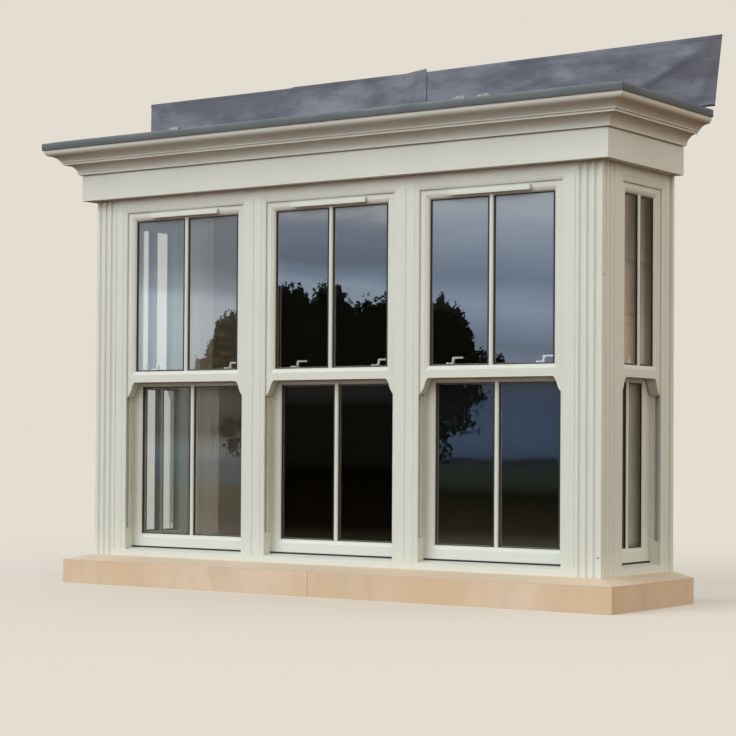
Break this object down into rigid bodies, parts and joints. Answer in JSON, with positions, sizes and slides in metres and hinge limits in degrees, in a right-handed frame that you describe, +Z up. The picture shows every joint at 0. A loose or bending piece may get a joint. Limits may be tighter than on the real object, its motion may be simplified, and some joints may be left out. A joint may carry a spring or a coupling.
{
  "type": "box bay sash window",
  "caption": "Box bay of vertical sliding sash windows between fluted corner posts, with a moulded cornice, flat roof, lead flashing and stone sill.",
  "frame": {"origin": "middle of the bay on the outer face line of the front frames, at the underside of the stone sill", "axes": "+X along the front to the right as seen from outside, +Y into the building, +Z up"},
  "size_m": [3.0765, 0.789, 2.3212],
  "materials": {
    "window_cream": "satin cream with a faint grain",
    "painted_timber": "satin cream paint",
    "timber": "sawn softwood",
    "sheathing": "sanded sheathing board",
    "plaster": "matt white",
    "board_cream": "satin cream paint",
    "glass": "clear polished",
    "chrome": "polished",
    "balance_tube": "smooth white",
    "roof_skin": "weathered grey resin",
    "lead": "dull, lightly dented",
    "stone": "sawn, fine vertical marks"
  },
  "bodies": {
    "bay": {"front_left_frame": "window_cream", "front_centre_frame": "window_cream", "front_right_frame": "window_cream", "side_left_frame": "window_cream", "side_right_frame": "window_cream", "corner_post_left": "window_cream", "corner_post_right": "window_cream", "wall_trims": "window_cream", "fascia": "painted_timber", "cornice": "painted_timber", "roof_covering": "roof_skin", "roof_deck": "sheathing", "roof_timbers": "timber", "ceiling_board": "plaster", "window_board": "board_cream", "lead_flashing": "lead", "sill_stone_left": "stone", "sill_stone_right": "stone", "spring_balances": "balance_tube"},
    "front_left_upper": {"front_left_upper_sash": "window_cream", "front_left_upper_glass": "glass", "front_left_keeps": "chrome", "front_left_vent": "window_cream"},
    "front_left_lower": {"front_left_lower_sash": "window_cream", "front_left_lower_glass": "glass", "front_left_fittings": "chrome"},
    "front_left_lever_left": {"front_left_lever_left": "chrome"},
    "front_left_lever_right": {"front_left_lever_right": "chrome"},
    "front_centre_upper": {"front_centre_upper_sash": "window_cream", "front_centre_upper_glass": "glass", "front_centre_keeps": "chrome", "front_centre_vent": "window_cream"},
    "front_centre_lower": {"front_centre_lower_sash": "window_cream", "front_centre_lower_glass": "glass", "front_centre_fittings": "chrome"},
    "front_centre_lever_left": {"front_centre_lever_left": "chrome"},
    "front_centre_lever_right": {"front_centre_lever_right": "chrome"},
    "front_right_upper": {"front_right_upper_sash": "window_cream", "front_right_upper_glass": "glass", "front_right_keeps": "chrome", "front_right_vent": "window_cream"},
    "front_right_lower": {"front_right_lower_sash": "window_cream", "front_right_lower_glass": "glass", "front_right_fittings": "chrome"},
    "front_right_lever_left": {"front_right_lever_left": "chrome"},
    "front_right_lever_right": {"front_right_lever_right": "chrome"},
    "side_left_upper": {"side_left_upper_sash": "window_cream", "side_left_upper_glass": "glass", "side_left_keep": "chrome"},
    "side_left_lower": {"side_left_lower_sash": "window_cream", "side_left_lower_glass": "glass", "side_left_fittings": "chrome"},
    "side_left_lever": {"side_left_lever": "chrome"},
    "side_right_upper": {"side_right_upper_sash": "window_cream", "side_right_upper_glass": "glass", "side_right_keep": "chrome"},
    "side_right_lower": {"side_right_lower_sash": "window_cream", "side_right_lower_glass": "glass", "side_right_fittings": "chrome"},
    "side_right_lever": {"side_right_lever": "chrome"}
  },
  "joints": [
    {"name": "front_left_upper_slide", "type": "slide", "parent": "bay", "child": "front_left_upper", "axis": [0, 0, -1], "range_m": [0, 0.59]},
    {"name": "front_left_lower_slide", "type": "slide", "parent": "bay", "child": "front_left_lower", "axis": [0, 0, 1], "range_m": [0, 0.62]},
    {"name": "front_left_lever_left_turn", "type": "hinge", "parent": "front_left_lower", "child": "front_left_lever_left", "pos_m": [-1.02, 0.08, 0.9743], "axis": [0, 0, 1], "range_deg": [0, 180]},
    {"name": "front_left_lever_right_turn", "type": "hinge", "parent": "front_left_lower", "child": "front_left_lever_right", "pos_m": [-0.59, 0.08, 0.9743], "axis": [0, 0, 1], "range_deg": [0, 180]},
    {"name": "front_centre_upper_slide", "type": "slide", "parent": "bay", "child": "front_centre_upper", "axis": [0, 0, -1], "range_m": [0, 0.59]},
    {"name": "front_centre_lower_slide", "type": "slide", "parent": "bay", "child": "front_centre_lower", "axis": [0, 0, 1], "range_m": [0, 0.62]},
    {"name": "front_centre_lever_left_turn", "type": "hinge", "parent": "front_centre_lower", "child": "front_centre_lever_left", "pos_m": [-0.215, 0.08, 0.9743], "axis": [0, 0, 1], "range_deg": [0, 180]},
    {"name": "front_centre_lever_right_turn", "type": "hinge", "parent": "front_centre_lower", "child": "front_centre_lever_right", "pos_m": [0.215, 0.08, 0.9743], "axis": [0, 0, 1], "range_deg": [0, 180]},
    {"name": "front_right_upper_slide", "type": "slide", "parent": "bay", "child": "front_right_upper", "axis": [0, 0, -1], "range_m": [0, 0.59]},
    {"name": "front_right_lower_slide", "type": "slide", "parent": "bay", "child": "front_right_lower", "axis": [0, 0, 1], "range_m": [0, 0.62]},
    {"name": "front_right_lever_left_turn", "type": "hinge", "parent": "front_right_lower", "child": "front_right_lever_left", "pos_m": [0.59, 0.08, 0.9743], "axis": [0, 0, 1], "range_deg": [0, 180]},
    {"name": "front_right_lever_right_turn", "type": "hinge", "parent": "front_right_lower", "child": "front_right_lever_right", "pos_m": [1.02, 0.08, 0.9743], "axis": [0, 0, 1], "range_deg": [0, 180]},
    {"name": "side_left_upper_slide", "type": "slide", "parent": "bay", "child": "side_left_upper", "axis": [0, 0, -1], "range_m": [0, 0.59]},
    {"name": "side_left_lower_slide", "type": "slide", "parent": "bay", "child": "side_left_lower", "axis": [0, 0, 1], "range_m": [0, 0.62]},
    {"name": "side_left_lever_turn", "type": "hinge", "parent": "side_left_lower", "child": "side_left_lever", "pos_m": [-1.2465, 0.313, 0.9743], "axis": [0, 0, 1], "range_deg": [0, 180]},
    {"name": "side_right_upper_slide", "type": "slide", "parent": "bay", "child": "side_right_upper", "axis": [0, 0, -1], "range_m": [0, 0.59]},
    {"name": "side_right_lower_slide", "type": "slide", "parent": "bay", "child": "side_right_lower", "axis": [0, 0, 1], "range_m": [0, 0.62]},
    {"name": "side_right_lever_turn", "type": "hinge", "parent": "side_right_lower", "child": "side_right_lever", "pos_m": [1.2465, 0.389, 0.9743], "axis": [0, 0, 1], "range_deg": [0, 180]}
  ]
}
